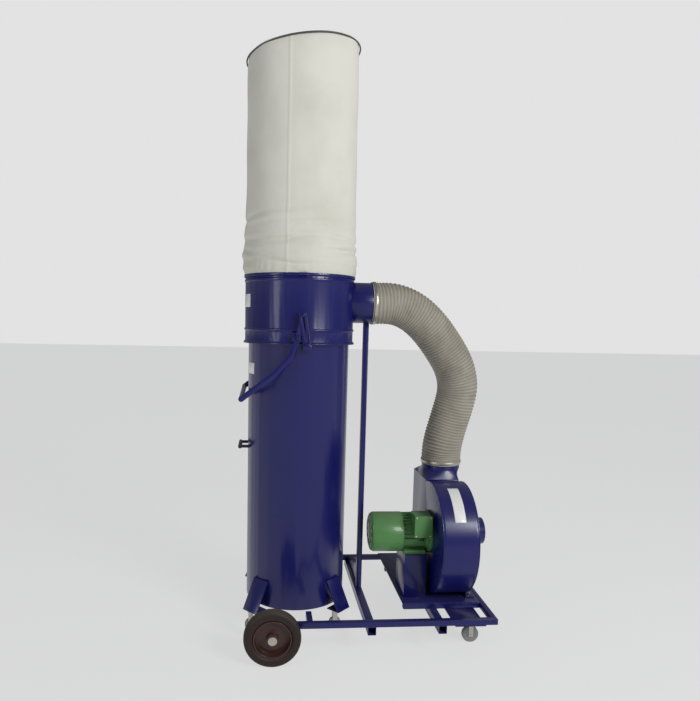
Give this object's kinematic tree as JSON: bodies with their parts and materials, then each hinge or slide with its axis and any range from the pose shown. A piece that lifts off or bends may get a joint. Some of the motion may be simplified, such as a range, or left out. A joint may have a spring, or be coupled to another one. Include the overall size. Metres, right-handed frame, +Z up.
{
  "type": "dust collector",
  "caption": "Mobile dust collector: blower on a wheeled frame feeding a separator drum through a flexible duct, with a filter bag above and a lever-clamped roll-out bin.",
  "frame": {"origin": "on the floor below the middle of the outline", "axes": "+Z up, +X from the dust drum towards the blower and its suction spigot, -Y the operating side"},
  "size_m": [1.17, 0.926, 2.626],
  "materials": {
    "blue_paint": "glossy enamel",
    "green_paint": "semi-gloss enamel",
    "bag_cloth": "woven filter cloth",
    "duct_cloth": "coated cloth over wire spiral",
    "plated_wire": "zinc plated",
    "bare_steel": "machined",
    "dark_ring": "satin",
    "dark_grip": "worn enamel",
    "white_label": "blank printed film",
    "black_plastic": "moulded",
    "seal_rubber": "foam rubber",
    "brown_rubber": "moulded rubber",
    "hub_paint": "enamel on pressed steel",
    "grey_wheel": "moulded"
  },
  "bodies": {
    "frame": {"bag_cage": "plated_wire", "bag_clamp_band": "blue_paint", "bag_top_ring": "dark_ring", "bin_guides": "blue_paint", "blank_labels": "white_label", "blower_base_plate": "blue_paint", "cable_gland": "black_plastic", "caster_plates": "blue_paint", "cross_tubes": "blue_paint", "duct_clamps": "plated_wire", "filter_bag": "bag_cloth", "flexible_duct": "duct_cloth", "housing_seal": "seal_rubber", "housing_shell": "blue_paint", "inlet_collar": "blue_paint", "lever_brackets": "blue_paint", "motor_body": "green_paint", "motor_fan_cowl": "green_paint", "motor_flange": "green_paint", "motor_pedestal": "blue_paint", "motor_rear_shield": "green_paint", "outlet_neck": "blue_paint", "plate_bearers": "blue_paint", "post_gusset": "blue_paint", "scroll_band": "blue_paint", "scroll_foot": "blue_paint", "scroll_plate_inlet": "blue_paint", "scroll_plate_motor": "blue_paint", "side_rails": "blue_paint", "suction_spigot": "blue_paint", "support_post": "blue_paint", "terminal_box": "green_paint", "wheel_axles": "plated_wire"},
    "rotor": {"motor_rotor": "bare_steel", "impeller": "blue_paint", "cooling_fan": "black_plastic"},
    "bin": {"bin_shell": "blue_paint", "bin_legs": "blue_paint", "bin_handle": "dark_grip", "bin_lugs": "blue_paint", "bin_label": "white_label"},
    "lever": {"lever_bail": "blue_paint"},
    "link_front": {"lever_link_front": "blue_paint"},
    "link_rear": {"lever_link_rear": "blue_paint"},
    "road_wheel_front": {"road_tyre_front": "brown_rubber", "road_hub_front": "hub_paint"},
    "road_wheel_rear": {"road_tyre_rear": "brown_rubber", "road_hub_rear": "hub_paint"},
    "frame_caster_front_swivel": {"frame_caster_front_fork": "plated_wire"},
    "frame_caster_front_roller": {"frame_caster_front_wheel": "grey_wheel"},
    "frame_caster_rear_swivel": {"frame_caster_rear_fork": "plated_wire"},
    "frame_caster_rear_roller": {"frame_caster_rear_wheel": "grey_wheel"},
    "bin_caster_1_swivel": {"bin_caster_1_fork": "plated_wire"},
    "bin_caster_1_roller": {"bin_caster_1_wheel": "grey_wheel"},
    "bin_caster_2_swivel": {"bin_caster_2_fork": "plated_wire"},
    "bin_caster_2_roller": {"bin_caster_2_wheel": "grey_wheel"},
    "bin_caster_3_swivel": {"bin_caster_3_fork": "plated_wire"},
    "bin_caster_3_roller": {"bin_caster_3_wheel": "grey_wheel"},
    "bin_caster_4_swivel": {"bin_caster_4_fork": "plated_wire"},
    "bin_caster_4_roller": {"bin_caster_4_wheel": "grey_wheel"}
  },
  "joints": [
    {"name": "lever_swing", "type": "hinge", "parent": "frame", "child": "lever", "pos_m": [-0.327, 0, 1.376], "axis": [0, 1, 0], "range_deg": [0, 50]},
    {"name": "bin_drop", "type": "slide", "parent": "frame", "child": "bin", "axis": [0, 0, -1], "range_m": [0, 0.0395]},
    {"name": "rotor_spin", "type": "hinge", "parent": "frame", "child": "rotor", "pos_m": [0.192, -0.08, 0.46], "axis": [1, 0, 0], "continuous": true},
    {"name": "link_front_swing", "type": "hinge", "parent": "lever", "child": "link_front", "pos_m": [-0.308, -0.2745, 1.474], "axis": [0, 1, 0], "range_deg": [-22, 0]},
    {"name": "road_wheel_front_spin", "type": "hinge", "parent": "frame", "child": "road_wheel_front", "pos_m": [-0.423, -0.43, 0.122], "axis": [0, 1, 0], "continuous": true},
    {"name": "frame_caster_front_turn", "type": "hinge", "parent": "frame", "child": "frame_caster_front_swivel", "pos_m": [0.457, -0.27, 0.13], "axis": [0, 0, 1], "continuous": true},
    {"name": "frame_caster_front_spin", "type": "hinge", "parent": "frame_caster_front_swivel", "child": "frame_caster_front_roller", "pos_m": [0.487, -0.27, 0.0375], "axis": [0, 1, 0], "continuous": true},
    {"name": "link_rear_swing", "type": "hinge", "parent": "lever", "child": "link_rear", "pos_m": [-0.308, 0.2745, 1.474], "axis": [0, 1, 0], "range_deg": [-22, 0]},
    {"name": "road_wheel_rear_spin", "type": "hinge", "parent": "frame", "child": "road_wheel_rear", "pos_m": [-0.423, 0.43, 0.122], "axis": [0, 1, 0], "continuous": true},
    {"name": "frame_caster_rear_turn", "type": "hinge", "parent": "frame", "child": "frame_caster_rear_swivel", "pos_m": [0.457, 0.27, 0.13], "axis": [0, 0, 1], "continuous": true},
    {"name": "frame_caster_rear_spin", "type": "hinge", "parent": "frame_caster_rear_swivel", "child": "frame_caster_rear_roller", "pos_m": [0.487, 0.27, 0.0375], "axis": [0, 1, 0], "continuous": true},
    {"name": "bin_caster_1_turn", "type": "hinge", "parent": "bin", "child": "bin_caster_1_swivel", "pos_m": [-0.11496, -0.19304, 0.128], "axis": [0, 0, 1], "continuous": true},
    {"name": "bin_caster_1_spin", "type": "hinge", "parent": "bin_caster_1_swivel", "child": "bin_caster_1_roller", "pos_m": [-0.13096, -0.19304, 0.067], "axis": [0, 1, 0], "continuous": true},
    {"name": "bin_caster_2_turn", "type": "hinge", "parent": "bin", "child": "bin_caster_2_swivel", "pos_m": [-0.11496, 0.19304, 0.128], "axis": [0, 0, 1], "continuous": true},
    {"name": "bin_caster_2_spin", "type": "hinge", "parent": "bin_caster_2_swivel", "child": "bin_caster_2_roller", "pos_m": [-0.13096, 0.19304, 0.067], "axis": [0, 1, 0], "continuous": true},
    {"name": "bin_caster_3_turn", "type": "hinge", "parent": "bin", "child": "bin_caster_3_swivel", "pos_m": [-0.50104, 0.19304, 0.128], "axis": [0, 0, 1], "continuous": true},
    {"name": "bin_caster_3_spin", "type": "hinge", "parent": "bin_caster_3_swivel", "child": "bin_caster_3_roller", "pos_m": [-0.51704, 0.19304, 0.067], "axis": [0, 1, 0], "continuous": true},
    {"name": "bin_caster_4_turn", "type": "hinge", "parent": "bin", "child": "bin_caster_4_swivel", "pos_m": [-0.50104, -0.19304, 0.128], "axis": [0, 0, 1], "continuous": true},
    {"name": "bin_caster_4_spin", "type": "hinge", "parent": "bin_caster_4_swivel", "child": "bin_caster_4_roller", "pos_m": [-0.51704, -0.19304, 0.067], "axis": [0, 1, 0], "continuous": true}
  ],
  "couplings": [
    {"joint": "bin_drop", "follows": "lever_swing", "m_per_rad": 0.045264},
    {"joint": "link_front_swing", "follows": "lever_swing", "ratio": -0.39},
    {"joint": "link_rear_swing", "follows": "lever_swing", "ratio": -0.39}
  ]
}
